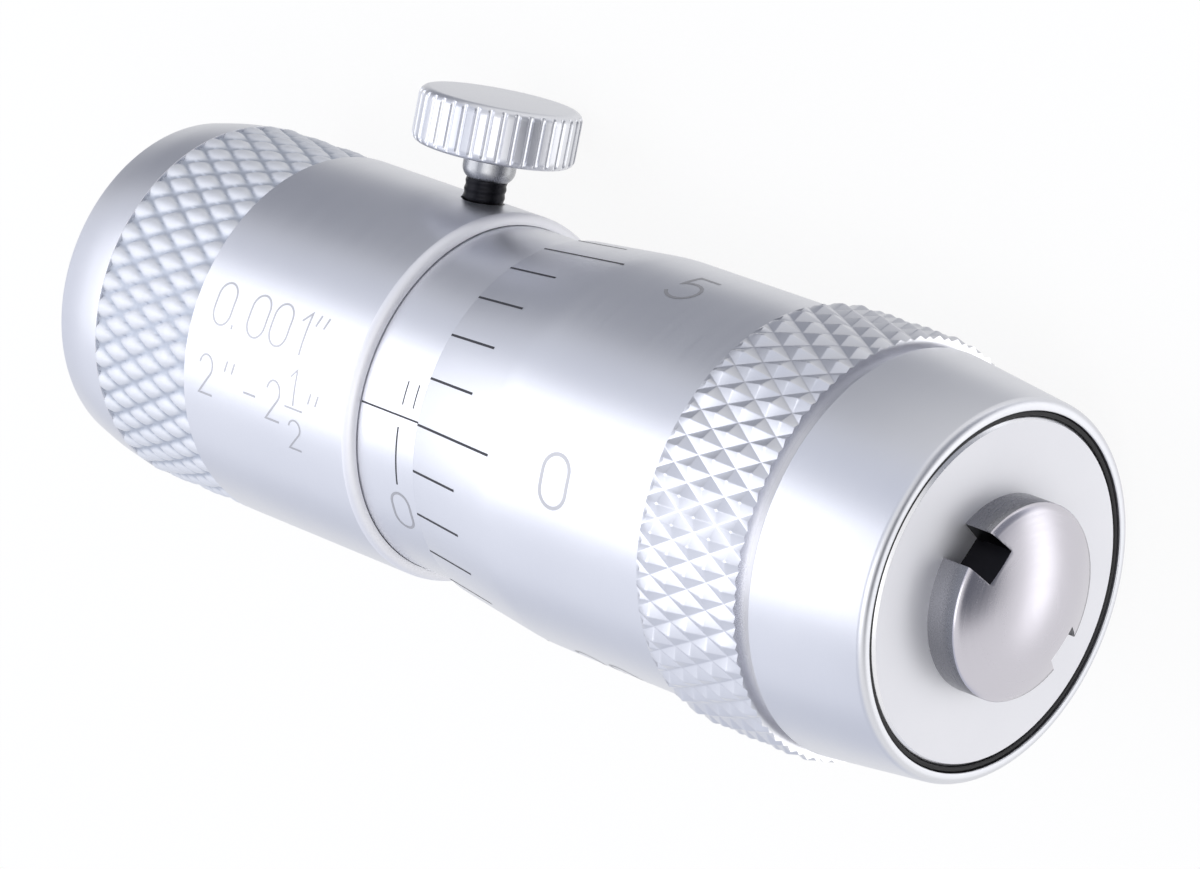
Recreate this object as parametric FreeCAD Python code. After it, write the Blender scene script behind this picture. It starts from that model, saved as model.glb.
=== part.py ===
import FreeCAD, Part
import math
import os

from FreeCAD import Vector

# Inside micrometer head, 2 to 2.5 inch, in millimetres.
# The measuring axis is X and the thimble end is +X. The origin is on the axis, in the middle
# of the plain length where a holder grips the body. The head lies as it comes to rest, on the
# thimble's knurl and on the rim of the lock screw's knob.

INCH = 25.4

# Measuring range and screw
zero_length = 2.0 * INCH
rest_reading = 0.05 * INCH
full_reading = 0.5 * INCH

# Contacts, one at each end
contact_radius = 4.03
contact_rim_height = 1.33
contact_dome_radius = 9.0
contact_edge_break = 0.08
contact_slot_width = 1.6
contact_slot_depth = 1.15
contact_slot_angle = 33.5
contact_shank_radius = 1.5
contact_shank_chamfer = 0.3
moving_shank_length = 8.0

# Fits
seat_gap = 0.02
slide_gap = 0.05
thread_gap = 0.05
thimble_gap = 0.1
joint_gap = 0.04

# Body tube: its radius is built up from its bore, the sleeve's wall and the flange's step
grip_to_end = 10.9
body_bore_radius = 6.6
sleeve_wall = 0.97
flange_step = 0.48
end_band_length = 3.0
end_band_first_drop = 0.04
end_band_middle_drop = 0.255
end_band_last_drop = 0.6
end_band_round = 12.0
body_end_round = 0.15
flange_chamfer_length = 0.5
flange_chamfer_height = 0.4
flange_recess_width = 0.06
flange_recess_depth = 0.25
sleeve_seat_depth = 1.0

# Knurls: the half pitch is from one column of teeth to the next, and the lead and turn place them
body_knurl_teeth = 43
body_knurl_half_pitch = 1.04
body_knurl_lead = 0.79
body_knurl_turn = 1.3
body_knurl_length = 5.85
body_knurl_depth = 0.3
body_knurl_flat_share = 0.44
thimble_knurl_teeth = 47
thimble_knurl_half_pitch = 1.0
thimble_knurl_lead = 0.25
thimble_knurl_turn = 2.6
thimble_knurl_length = 5.35
thimble_knurl_rise = 0.48
thimble_knurl_depth = 0.22
thimble_knurl_left_chamfer = 0.25
thimble_knurl_right_chamfer = 0.06

# End plug at the fixed contact
plug_thickness = 2.0
plug_recess = 0.05
plug_edge_chamfer = 0.15

# Inner barrel, with its split threaded end, and the nut that closes the split
barrel_past_nut = 0.55
barrel_neck_step = 1.0
barrel_neck_taper = 0.25
barrel_slit_count = 3
barrel_slit_width = 0.8
barrel_slit_length = 7.0
thread_relief = 0.3
adjusting_nut_step = 0.37
adjusting_nut_length = 2.6
adjusting_nut_gap = 0.35
adjusting_nut_notch_count = 4
adjusting_nut_notch_width = 1.2
adjusting_nut_notch_depth = 0.7

# Graduated sleeve
sleeve_reach = 16.0
sleeve_zero_from_flange = 2.35

# Thimble
thimble_length = 24.75
thimble_step = 0.35
thimble_edge_thickness = 0.29
thimble_edge_lead = 0.05
thimble_bevel_length = 4.74
thimble_band_step = 0.04
thimble_band_taper = 0.63
thimble_band_length = 5.36
thimble_groove_width = 0.45
thimble_groove_depth = 0.31
thimble_rim_round = 0.25
thimble_rim_wall = 0.48
thimble_pocket_depth = 2.6
thimble_web_thickness = 2.2

# End disc and the black ring round it
ring_space = 0.32
disc_recess = 0.05
disc_edge_chamfer = 0.12
ring_recess = 0.2

# Spindle
stem_radius = 2.9
thread_height = 0.4
thread_end_chamfer = 0.3
thread_runout = 0.6
spindle_seat_step = 0.5
spindle_collar_step = 0.8
spindle_collar_thickness = 1.2
stem_end_chamfer = 0.4
stem_end_clearance = 0.6

# Lock screw and its brass pad
lock_from_flange = 2.56
lock_pad_radius = 0.88
lock_pad_lift = 0.12
lock_pad_margin = 0.4
lock_stud_radius = 0.9
lock_stud_chamfer = 0.15
lock_stud_in_body = 3.4
lock_stud_in_knob = 1.4
lock_neck_radius = 1.14
lock_neck_height = 1.05
lock_neck_chamfer = 0.4
lock_neck_above_body = 0.95
lock_knob_radius = 3.5
lock_knob_thickness = 2.4
lock_knob_chamfer = 0.3
lock_knob_flutes = 38
lock_knob_flute_depth = 0.16
lock_knob_crest_share = 0.36
lock_knob_valley_share = 0.3

# Straight pieces that a rounding is drawn with, and the distance at which two points are one
round_pieces = 3
slightest = 1e-6

# Radii, worked out from the sizes above
sleeve_radius = body_bore_radius + sleeve_wall
body_radius = sleeve_radius + flange_step
thimble_radius = body_radius + thimble_step
thimble_band_radius = thimble_radius + thimble_band_step
thimble_rim_radius = thimble_band_radius - thimble_band_taper
thimble_pocket_radius = thimble_rim_radius - thimble_rim_wall
thimble_knurl_radius = thimble_radius + thimble_knurl_rise
disc_radius = thimble_pocket_radius - ring_space
barrel_neck_radius = body_bore_radius - barrel_neck_step
thread_radius = stem_radius + thread_height
spindle_seat_radius = thread_radius + spindle_seat_step
spindle_collar_radius = spindle_seat_radius + spindle_collar_step

# Stations along the measuring axis, worked out from the sizes above
contact_dome_height = contact_dome_radius - math.sqrt(contact_dome_radius**2 - contact_radius**2)
contact_height = contact_rim_height + contact_dome_height
body_left = -grip_to_end
plug_face = body_left + plug_recess
plug_inner = plug_face + plug_thickness
fixed_tip = plug_face - contact_height
moving_tip = fixed_tip + zero_length + rest_reading
disc_face = moving_tip - contact_height
rim_face = disc_face + disc_recess
thimble_edge = rim_face - thimble_length
zero_line = thimble_edge - thimble_edge_lead - rest_reading
flange_face = zero_line - sleeve_zero_from_flange
band_left = rim_face - thimble_band_length
knurl_right = band_left - thimble_groove_width
knurl_left = knurl_right - thimble_knurl_length
web_right = rim_face - thimble_pocket_depth
web_left = web_right - thimble_web_thickness
collar_left = web_left - spindle_collar_thickness
lock_x = flange_face - lock_from_flange
stem_left = plug_inner + stem_end_clearance + rest_reading
thread_left = lock_x + lock_pad_radius + lock_pad_margin + rest_reading
guide_right = thread_left - rest_reading - slide_gap
nut_left = thread_left + full_reading - rest_reading
sleeve_left = flange_face - sleeve_seat_depth
sleeve_right = flange_face + sleeve_reach
adjusting_left = sleeve_right + adjusting_nut_gap
adjusting_right = adjusting_left + adjusting_nut_length
barrel_right = adjusting_right + barrel_past_nut

# Heights along the lock screw's axis
stud_bottom = body_radius - lock_stud_in_body
pad_top = stud_bottom - joint_gap
pad_bottom = stem_radius + lock_pad_lift
neck_bottom = body_radius + lock_neck_above_body
knob_bottom = neck_bottom + lock_neck_height
knob_top = knob_bottom + lock_knob_thickness
lock_hole_radius = lock_stud_radius + thread_gap

# The roll that brings the knob's edge down to the level of the knurl's crests
edge_height = knob_top - lock_knob_chamfer
lying_roll = math.degrees(
    math.acos(-thimble_knurl_radius / math.hypot(edge_height, lock_knob_radius))
    - math.atan2(lock_knob_radius, edge_height)
)


def rounding(before, here, after, radius):
    """The points that round a corner of an outline with short straight pieces."""
    back, ahead = (before - here).normalize(), (after - here).normalize()
    half = back.getAngle(ahead) / 2
    middle = (back + ahead).normalize()
    centre = here + middle * (radius / math.sin(half))
    side = (back - ahead).normalize()
    points = []
    for piece in range(round_pieces + 1):
        swing = (math.pi / 2 - half) * (1 - 2 * piece / round_pieces)
        points.append(centre + (side * math.sin(swing) - middle * math.cos(swing)) * radius)
    return points


def turned(outline):
    """Revolve a closed outline about X; each corner is (x, radius) or (x, radius, rounding)."""
    spots = [Vector(corner[0], corner[1], 0) for corner in outline]
    points = []
    for place, corner in enumerate(outline):
        if len(corner) == 3:
            following = spots[(place + 1) % len(spots)]
            points += rounding(spots[place - 1], spots[place], following, corner[2])
        else:
            points.append(spots[place])
    face = Part.Face(Part.makePolygon([*points, points[0]]))
    return face.revolve(Vector(0, 0, 0), Vector(1, 0, 0), 360)


def rod(left, right, radius):
    """A cylinder on the measuring axis."""
    return Part.makeCylinder(radius, right - left, Vector(left, 0, 0), Vector(1, 0, 0))


def upright(shape):
    """Stand a shape turned about X on the lock screw's axis, with its X measured outwards."""
    shape.rotate(Vector(0, 0, 0), Vector(0, 1, 0), -90)
    shape.translate(Vector(lock_x, 0, 0))
    return shape


def ring_spot(x, radius, turn):
    """A point at a turn in degrees round the measuring axis."""
    angle = math.radians(turn)
    return Vector(x, radius * math.cos(angle), radius * math.sin(angle))


def knurl_blank(first, right, half_pitch, crest, depth, teeth, start_turn, flat_share):
    """A solid bar whose surface is rows of diamond pyramids, cut flat on top by flat_share of their size.

    Crests and valley crossings alternate round each column of teeth and from one column to the
    next. The bar starts at first and runs past right, to be trimmed by the caller. The flats are
    as wide round the bar as the planes of the teeth's sides allow.
    """
    step = 180.0 / teeth
    columns = math.ceil((right - first) / half_pitch)
    root = crest - depth
    valley_drop = root * (1 - math.cos(math.radians(step)))
    flat_reach = flat_share / (1 + valley_drop / depth * (1 - flat_share))
    flat_turn = math.degrees(math.atan(flat_reach * root * math.sin(math.radians(step)) / crest))
    faces = []

    def valley(column, slot):
        return ring_spot(first + column * half_pitch, root, start_turn + slot * step)

    def crown(column, slot, along, around):
        x = first + (column + along * flat_share) * half_pitch
        radius = crest / math.cos(math.radians(around * flat_turn))
        return ring_spot(x, radius, start_turn + slot * step + around * flat_turn)

    def add_face(*corners):
        apart = [spot for place, spot in enumerate(corners)
                 if not spot.isEqual(corners[place - 1], slightest)]
        if len(apart) > 2:
            faces.append(Part.Face(Part.makePolygon([*apart, apart[0]])))

    for column in range(columns + 1):
        ways = [along for along in (-1, 1) if 0 <= column + along <= columns]
        for slot in range(column % 2, 2 * teeth, 2):
            low, high = crown(column, slot, 0, -1), crown(column, slot, 0, 1)
            tips = {along: crown(column, slot, along, 0) for along in ways}
            add_face(low, *[tips[along] for along in ways if along < 0], high,
                     *[tips[along] for along in ways if along > 0])
            for along in ways:
                side = valley(column + along, slot)
                add_face(side, valley(column, slot - 1), low, tips[along])
                add_face(side, valley(column, slot + 1), high, tips[along])
            if len(ways) == 1:
                hub = Vector(first + column * half_pitch, 0, 0)
                add_face(hub, valley(column, slot - 1), low)
                add_face(hub, low, high)
                add_face(hub, high, valley(column, slot + 1))
    shell = Part.Shell(faces)
    shell.sewShape()
    return Part.Solid(shell)


def contact(seat, out, shank_length):
    """A domed contact with two spanner slots; out is 1 if it points along +X and -1 along -X."""
    broken = contact_radius - contact_edge_break
    blank = turned([(0, 0), (0, contact_radius), (contact_rim_height - contact_edge_break, contact_radius),
                    (contact_height, broken - contact_dome_height), (contact_height, 0)])
    dome = Part.makeSphere(contact_dome_radius, Vector(contact_height - contact_dome_radius, 0, 0))
    head = blank.common(dome)
    for side in (0, 180):
        slot = Part.makeBox(contact_height, contact_slot_width, contact_radius)
        slot.translate(Vector(0, -contact_slot_width / 2, contact_radius - contact_slot_depth))
        slot.rotate(Vector(0, 0, 0), Vector(1, 0, 0), out * (90 - contact_slot_angle) + side)
        head = head.cut(slot)
    end = shank_length - contact_shank_chamfer
    shank = turned([(0, 0), (-shank_length, 0),
                    (-shank_length, contact_shank_radius - contact_shank_chamfer),
                    (-end, contact_shank_radius), (0, contact_shank_radius)])
    whole = head.fuse(shank).removeSplitter()
    if out < 0:
        whole.rotate(Vector(0, 0, 0), Vector(0, 0, 1), 180)
    whole.translate(Vector(seat, 0, 0))
    return whole


def body_tube():
    """The outer tube: crowned end band, flush knurl, plain grip and chamfered flange."""
    knurl_start = body_left + end_band_length
    band_middle = body_left + end_band_length / 2
    knurl_end = knurl_start + body_knurl_length
    core = body_radius - 2 * body_knurl_depth
    blank = turned([(body_left, 0), (body_left, body_radius - end_band_last_drop, body_end_round),
                    (band_middle, body_radius - end_band_middle_drop, end_band_round),
                    (knurl_start, body_radius - end_band_first_drop), (knurl_start, core), (knurl_end, core),
                    (knurl_end, body_radius), (flange_face - flange_chamfer_length, body_radius),
                    (flange_face, body_radius - flange_chamfer_height), (flange_face, 0)])
    teeth = knurl_blank(knurl_start - body_knurl_lead, knurl_end, body_knurl_half_pitch, body_radius,
                        body_knurl_depth, body_knurl_teeth, body_knurl_turn, body_knurl_flat_share)
    teeth = teeth.common(rod(knurl_start, knurl_end, body_radius + body_knurl_depth))
    bore = rod(body_left, flange_face, body_bore_radius)
    sleeve_seat = rod(sleeve_left, flange_face, sleeve_radius + seat_gap)
    recess = rod(flange_face - flange_recess_depth, flange_face, sleeve_radius + flange_recess_width)
    lock_hole = Part.makeCylinder(lock_hole_radius, body_radius, Vector(lock_x, 0, 0))
    return blank.fuse(teeth).cut([bore, sleeve_seat, recess, lock_hole])


def end_plug():
    """The disc that closes the body's end and carries the fixed contact."""
    radius = body_bore_radius - seat_gap
    plug = turned([(plug_face, 0), (plug_face, radius - plug_edge_chamfer),
                   (plug_face + plug_edge_chamfer, radius), (plug_inner, radius), (plug_inner, 0)])
    return plug.cut(rod(plug_face, plug_inner, contact_shank_radius + seat_gap))


def fixed_contact():
    """The contact at the closed end of the body."""
    return contact(plug_face, -1, plug_thickness)


def inner_barrel():
    """The guide and threaded bush of the spindle, split at its end so that its thread can be closed in."""
    outer = body_bore_radius - seat_gap
    neck_end = barrel_neck_radius - barrel_neck_taper
    barrel = turned([(plug_inner, 0), (plug_inner, outer), (sleeve_right, outer),
                     (sleeve_right, barrel_neck_radius), (barrel_right, neck_end), (barrel_right, 0)])
    guide = rod(plug_inner, guide_right, stem_radius + slide_gap)
    relief = rod(guide_right, nut_left, thread_radius + thread_relief)
    nut = rod(nut_left, barrel_right, thread_radius + thread_gap)
    lock_hole = Part.makeCylinder(lock_hole_radius, body_radius, Vector(lock_x, 0, 0))
    slits = []
    for number in range(barrel_slit_count):
        slit = Part.makeBox(barrel_slit_length, barrel_slit_width, barrel_neck_radius + outer)
        slit.translate(Vector(barrel_right - barrel_slit_length, -barrel_slit_width / 2, 0))
        slit.rotate(Vector(0, 0, 0), Vector(1, 0, 0), number * 360 / barrel_slit_count)
        slits.append(slit)
    return barrel.cut([guide, relief, nut, lock_hole, *slits])


def adjusting_nut():
    """The notched ring on the barrel's tapered neck."""
    left, right = adjusting_left, adjusting_right
    outer = sleeve_radius - adjusting_nut_step
    slope = barrel_neck_taper / (barrel_right - sleeve_right)
    bore_left = barrel_neck_radius - slope * (left - sleeve_right) + seat_gap
    bore_right = barrel_neck_radius - slope * (right - sleeve_right) + seat_gap
    ring = turned([(left, bore_left), (left, outer), (right, outer), (right, bore_right)])
    notches = []
    for number in range(adjusting_nut_notch_count):
        notch = Part.makeBox(right - left, adjusting_nut_notch_width, outer)
        notch.translate(Vector(left, -adjusting_nut_notch_width / 2, outer - adjusting_nut_notch_depth))
        notch.rotate(Vector(0, 0, 0), Vector(1, 0, 0), number * 360 / adjusting_nut_notch_count)
        notches.append(notch)
    return ring.cut(notches)


def graduated_sleeve():
    """The thin tube that carries the inch scale, seated in the body's flange."""
    outside = rod(sleeve_left, sleeve_right, sleeve_radius)
    return outside.cut(rod(sleeve_left, sleeve_right, body_bore_radius))


def spindle():
    """The plain stem that the lock bears on, the screw, and the collar and seat for the thimble."""
    thread_right = collar_left - thread_runout
    seat_right = web_right - seat_gap
    shaft = turned([(stem_left, 0), (stem_left, stem_radius - stem_end_chamfer),
                    (stem_left + stem_end_chamfer, stem_radius), (thread_left, stem_radius),
                    (thread_left + thread_end_chamfer, thread_radius), (thread_right, thread_radius),
                    (thread_right, stem_radius), (collar_left, stem_radius),
                    (collar_left, spindle_collar_radius), (web_left, spindle_collar_radius),
                    (web_left, spindle_seat_radius), (seat_right, spindle_seat_radius),
                    (seat_right, 0)])
    hole_left = disc_face - moving_shank_length - contact_shank_chamfer
    return shaft.cut(rod(hole_left, seat_right, contact_shank_radius + seat_gap))


def thimble():
    """The graduated, knurled outer shell that turns the screw."""
    edge_radius = sleeve_radius + thimble_edge_thickness
    core = thimble_knurl_radius - 2 * thimble_knurl_depth
    groove = thimble_band_radius - thimble_groove_depth
    blank = turned([(thimble_edge, 0), (thimble_edge, edge_radius),
                    (thimble_edge + thimble_bevel_length, thimble_radius), (knurl_left, thimble_radius),
                    (knurl_left, core), (knurl_right, core), (knurl_right, groove), (band_left, groove),
                    (band_left, thimble_band_radius), (rim_face, thimble_rim_radius, thimble_rim_round),
                    (rim_face, 0)])
    first, last, crest = thimble_knurl_left_chamfer, thimble_knurl_right_chamfer, thimble_knurl_radius
    limit = turned([(knurl_left, 0), (knurl_left, crest - first), (knurl_left + 2 * first, crest + first),
                    (knurl_right - 2 * last, crest + last), (knurl_right, crest - last), (knurl_right, 0)])
    teeth = knurl_blank(knurl_left - thimble_knurl_lead, knurl_right, thimble_knurl_half_pitch, crest,
                        thimble_knurl_depth, thimble_knurl_teeth, thimble_knurl_turn, 0)
    bore = rod(thimble_edge, web_left, sleeve_radius + thimble_gap)
    web_hole = rod(web_left, web_right, spindle_seat_radius + seat_gap)
    pocket = rod(web_right, rim_face, thimble_pocket_radius)
    return blank.fuse(teeth.common(limit)).cut([bore, web_hole, pocket])


def end_disc():
    """The pale disc under the moving contact, which clamps the thimble to the spindle."""
    disc = turned([(web_right, 0), (web_right, disc_radius),
                   (disc_face - disc_edge_chamfer, disc_radius),
                   (disc_face, disc_radius - disc_edge_chamfer), (disc_face, 0)])
    return disc.cut(rod(web_right, disc_face, contact_shank_radius + seat_gap))


def seal_ring():
    """The black ring in the gap between the disc and the thimble's rim."""
    left, right = web_right + joint_gap, rim_face - ring_recess
    inner = disc_radius + joint_gap
    outer = thimble_pocket_radius - joint_gap
    return turned([(left, inner), (left, outer), (right, outer), (right, inner)])


def moving_contact():
    """The contact that the thimble carries."""
    return contact(disc_face, 1, moving_shank_length)


def lock_pad():
    """The brass pad that the lock screw presses on the stem."""
    return upright(rod(pad_bottom, pad_top, lock_pad_radius))


def lock_stud():
    """The dark threaded stud of the lock screw."""
    end = knob_bottom + lock_stud_in_knob
    return upright(turned([(stud_bottom, 0), (stud_bottom, lock_stud_radius - lock_stud_chamfer),
                           (stud_bottom + lock_stud_chamfer, lock_stud_radius),
                           (end, lock_stud_radius), (end, 0)]))


def lock_knob():
    """The fluted knob and its neck, pressed on the stud."""
    pitch = 360 / lock_knob_flutes
    crest = pitch * lock_knob_crest_share / 2
    valley = pitch * lock_knob_valley_share / 2
    floor = lock_knob_radius - lock_knob_flute_depth
    corners = []
    for number in range(lock_knob_flutes):
        for side in (-crest, crest):
            corners.append(ring_spot(knob_bottom, lock_knob_radius, number * pitch + side))
        for side in (-valley, valley):
            corners.append(ring_spot(knob_bottom, floor, (number + 0.5) * pitch + side))
    fluted = Part.Face(Part.makePolygon([*corners, corners[0]])).extrude(Vector(lock_knob_thickness, 0, 0))
    narrow = lock_knob_radius - lock_knob_chamfer
    limit = turned([(knob_bottom, 0), (knob_bottom, narrow),
                    (knob_bottom + lock_knob_chamfer, lock_knob_radius),
                    (knob_top - lock_knob_chamfer, lock_knob_radius), (knob_top, narrow), (knob_top, 0)])
    neck = turned([(neck_bottom, 0), (neck_bottom, lock_neck_radius - lock_neck_chamfer),
                   (neck_bottom + lock_neck_chamfer, lock_neck_radius),
                   (knob_bottom + lock_knob_chamfer, lock_neck_radius),
                   (knob_bottom + lock_knob_chamfer, 0)])
    hole = rod(neck_bottom, knob_bottom + lock_stud_in_knob + seat_gap, lock_stud_radius + seat_gap)
    return upright(fluted.common(limit).fuse(neck).cut(hole))


PIECES = [body_tube, end_plug, fixed_contact, inner_barrel, graduated_sleeve, adjusting_nut, spindle,
          thimble, end_disc, seal_ring, moving_contact, lock_pad, lock_stud, lock_knob]


def main():
    """Build every piece, lay the head down and write one file for each."""
    os.makedirs("parts", exist_ok=True)
    for piece in PIECES:
        shape = piece()
        shape.rotate(Vector(0, 0, 0), Vector(1, 0, 0), -lying_roll)
        solids = shape.Solids
        if len(solids) != 1 or not shape.isValid():
            raise ValueError(f"{piece.__name__} has {len(solids)} solids, valid: {shape.isValid()}")
        solids[0].exportStep(f"parts/{piece.__name__}.step")
        box = shape.BoundBox
        print(f"{piece.__name__:18s} {solids[0].Volume:9.2f} mm3  x {box.XMin:7.2f} to {box.XMax:7.2f}"
              f"  faces {len(shape.Faces)}")
    print(f"roll {lying_roll:.6f}, lock screw x {lock_x:.4f}, tips {fixed_tip:.4f} {moving_tip:.4f}")
    print(f"flange {flange_face:.4f}, zero line {zero_line:.4f}, thimble edge {thimble_edge:.4f}")


main()
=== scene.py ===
"""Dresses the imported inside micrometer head, sets it on a pale floor and lights it softly."""

import logging
import math
from abc import ABC, abstractmethod
from collections.abc import Callable, Sequence
from dataclasses import dataclass, field
from enum import Enum
from typing import ClassVar

import bmesh
import bpy
import numpy as np
from mathutils import Matrix, Vector


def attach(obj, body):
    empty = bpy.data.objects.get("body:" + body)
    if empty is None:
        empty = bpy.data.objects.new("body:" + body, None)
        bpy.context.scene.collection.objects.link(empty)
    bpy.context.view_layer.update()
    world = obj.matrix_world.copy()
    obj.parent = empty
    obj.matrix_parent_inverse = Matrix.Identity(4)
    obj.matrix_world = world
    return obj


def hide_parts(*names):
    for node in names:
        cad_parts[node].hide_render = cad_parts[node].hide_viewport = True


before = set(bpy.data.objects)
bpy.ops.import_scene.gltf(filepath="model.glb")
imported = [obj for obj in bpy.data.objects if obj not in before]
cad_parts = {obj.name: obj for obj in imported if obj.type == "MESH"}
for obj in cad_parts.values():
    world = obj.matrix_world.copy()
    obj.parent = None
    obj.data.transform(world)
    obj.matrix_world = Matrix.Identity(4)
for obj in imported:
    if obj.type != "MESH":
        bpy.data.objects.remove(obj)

LOG = logging.getLogger("inside_micrometer")

MM = 0.001
ROLL_DEG = 118.542386
LAY = Matrix.Rotation(math.radians(-ROLL_DEG), 3, "X")
SEGMENTS = 320

# Shared places and radii on the head, in millimetres.
RIM = 36.7046
FLANGE = 8.2846
LOCK_X = 5.7246
BODY_BORE = 6.6
CONTACT_HOLE = 1.52
# The free unit in which the camera's and the inscription's places are given, taken as this many millimetres.
UNIT = 8.4

Corner = tuple[float, ...]
Point = tuple[float, float]
Reach = Callable[[float, float], float]
Mesh = bpy.types.Mesh
Shape = bmesh.types.BMesh
Tree = bpy.types.NodeTree
Socket = bpy.types.NodeSocket


class Body(Enum):
    """The frame's bodies that pieces ride on."""

    BODY = "body"
    THIMBLE_SLIDE = "thimble_slide"
    THIMBLE_SET = "thimble_set"
    LOCK_SCREW = "lock_screw"


class Slot(Enum):
    """The record's material slots."""

    SATIN_CHROME = "satin_chrome"
    PALE_DISC = "pale_disc"
    CONTACT_STEEL = "contact_steel"
    BLACK_STEEL = "black_steel"
    BLACK_RUBBER = "black_rubber"
    LINE_FILL = "line_fill"


# Colours and shader nodes


def linear(hex_colour: str) -> tuple[float, float, float, float]:
    """Turn an sRGB hex colour into linear light.

    Args:
        hex_colour: six hex digits after a hash.

    Returns:
        Linear red, green and blue, and an alpha of 1.
    """
    parts = [int(hex_colour[place:place + 2], 16) / 255.0 for place in (1, 3, 5)]
    red, green, blue = (c / 12.92 if c <= 0.04045 else ((c + 0.055) / 1.055) ** 2.4 for c in parts)
    return red, green, blue, 1.0


def add_node(tree: Tree, kind: str, feeds: dict | None = None, **settings: object) -> bpy.types.Node:
    """Add a shader node with its settings and inputs.

    Args:
        tree: the node tree it goes into.
        kind: the node's type name, without its leading ShaderNode.
        feeds: input name or number to the socket that feeds it, or to its fixed value.
        **settings: attributes of the node itself.

    Returns:
        The new node.
    """
    node = tree.nodes.new("ShaderNode" + kind)
    for name, setting in settings.items():
        setattr(node, name, setting)
    for key, feed in (feeds or {}).items():
        if isinstance(feed, Socket):
            tree.links.new(feed, node.inputs[key])
        else:
            node.inputs[key].default_value = feed
    return node


def fresh_tree(owner: bpy.types.Material | bpy.types.World) -> Tree:
    """Give a material or the world an empty node tree.

    Args:
        owner: the material or the world.

    Returns:
        Its tree, with no nodes.
    """
    owner.use_nodes = True
    owner.node_tree.nodes.clear()
    return owner.node_tree


def per_mm(feature: float) -> float:
    """Texture scale whose pattern repeats about every so many millimetres."""
    return 1.0 / (feature * MM)


class Finish(ABC):
    """How a surface is made and how it meets the eye."""

    name: ClassVar[str]
    made: ClassVar[dict[str, bpy.types.Material]] = {}

    @abstractmethod
    def feeds(self, tree: Tree) -> dict[str, object]:
        """What feeds the surface shader, by the names of its inputs."""

    def material(self) -> bpy.types.Material:
        """Make the material once and give it out after that.

        Returns:
            The Blender material.
        """
        if self.name not in self.made:
            material = self.made[self.name] = bpy.data.materials.new(self.name)
            tree = fresh_tree(material)
            shader = add_node(tree, "BsdfPrincipled", self.feeds(tree))
            add_node(tree, "OutputMaterial", {"Surface": shader.outputs["BSDF"]})
        return self.made[self.name]


@dataclass(frozen=True)
class MetalFinish(Finish):
    """A bare or plated metal with a fine grain and the faint marks of the tool that turned it."""

    name: str
    colour: str
    shade: str
    roughness: float
    roughness_spread: float
    grain_mm: float
    grain_depth_mm: float
    turning_mm: float
    turning_depth_mm: float
    cloud_mm: ClassVar[float] = 6.0
    turning_stretch: ClassVar[tuple[float, float, float]] = (1.0, 0.02, 0.02)

    def tint(self, tree: Tree, place: Socket) -> Socket:
        """The metal's colour, a little clouded.

        Args:
            tree: the material's node tree.
            place: where a point lies on the object.

        Returns:
            The colour.
        """
        clouds = add_node(tree, "TexNoise", {"Vector": place, "Scale": per_mm(self.cloud_mm), "Detail": 3.0,
                                             "Roughness": 0.6}).outputs["Fac"]
        return add_node(tree, "Mix", {"Factor": clouds, 6: linear(self.colour), 7: linear(self.shade)},
                        data_type="RGBA").outputs[2]

    def feeds(self, tree: Tree) -> dict[str, object]:
        """What feeds the surface shader.

        Args:
            tree: the material's node tree.

        Returns:
            A socket or value for each of the shader's inputs that is set.
        """
        place = add_node(tree, "TexCoord").outputs["Object"]
        along = add_node(tree, "Mapping", {"Vector": place, "Scale": self.turning_stretch}).outputs["Vector"]
        grain = add_node(tree, "TexNoise", {"Vector": place, "Scale": per_mm(self.grain_mm), "Detail": 2.0,
                                            "Roughness": 0.7}).outputs["Fac"]
        turning = add_node(tree, "TexNoise", {"Vector": along, "Scale": per_mm(self.turning_mm),
                                              "Detail": 3.0, "Roughness": 0.6}).outputs["Fac"]
        both = add_node(tree, "Math", {0: grain, 1: turning}, operation="ADD").outputs[0]
        rough = add_node(tree, "MapRange", {
            "Value": both, "From Min": 0.7, "From Max": 1.3, "To Min": self.roughness - self.roughness_spread,
            "To Max": self.roughness + self.roughness_spread}).outputs["Result"]
        pits = add_node(tree, "Bump", {"Height": grain, "Strength": 1.0,
                                       "Distance": self.grain_depth_mm * MM}).outputs["Normal"]
        lines = add_node(tree, "Bump", {"Height": turning, "Normal": pits, "Strength": 1.0,
                                        "Distance": self.turning_depth_mm * MM}).outputs["Normal"]
        return {"Metallic": 1.0, "Base Color": self.tint(tree, place), "Roughness": rough, "Normal": lines}


@dataclass(frozen=True)
class KnurlFinish(MetalFinish):
    """A plated knurl with painted shade in its valleys, darkest at their floor and gone at the crests."""

    film: str
    floor_mm: float
    clean_mm: float

    def tint(self, tree: Tree, place: Socket) -> Socket:
        """The metal's colour, turning to a painted valley shade near the axis.

        Args:
            tree: the material's node tree.
            place: where a point lies on the object.

        Returns:
            The colour.
        """
        # Painted shade: the colour darkens towards the knurl's floor, where shade falls in the valleys.
        out = add_node(tree, "VectorMath", {0: place, 1: (0.0, 1.0, 1.0)}, operation="MULTIPLY").outputs[0]
        radius = add_node(tree, "VectorMath", {0: out}, operation="LENGTH").outputs["Value"]
        unshaded = add_node(tree, "MapRange", {"Value": radius, "From Min": self.floor_mm * MM,
                                             "From Max": self.clean_mm * MM},
                          interpolation_type="SMOOTHSTEP").outputs["Result"]
        return add_node(tree, "Mix", {"Factor": unshaded, 6: linear(self.film), 7: super().tint(tree, place)},
                        data_type="RGBA").outputs[2]


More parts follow.
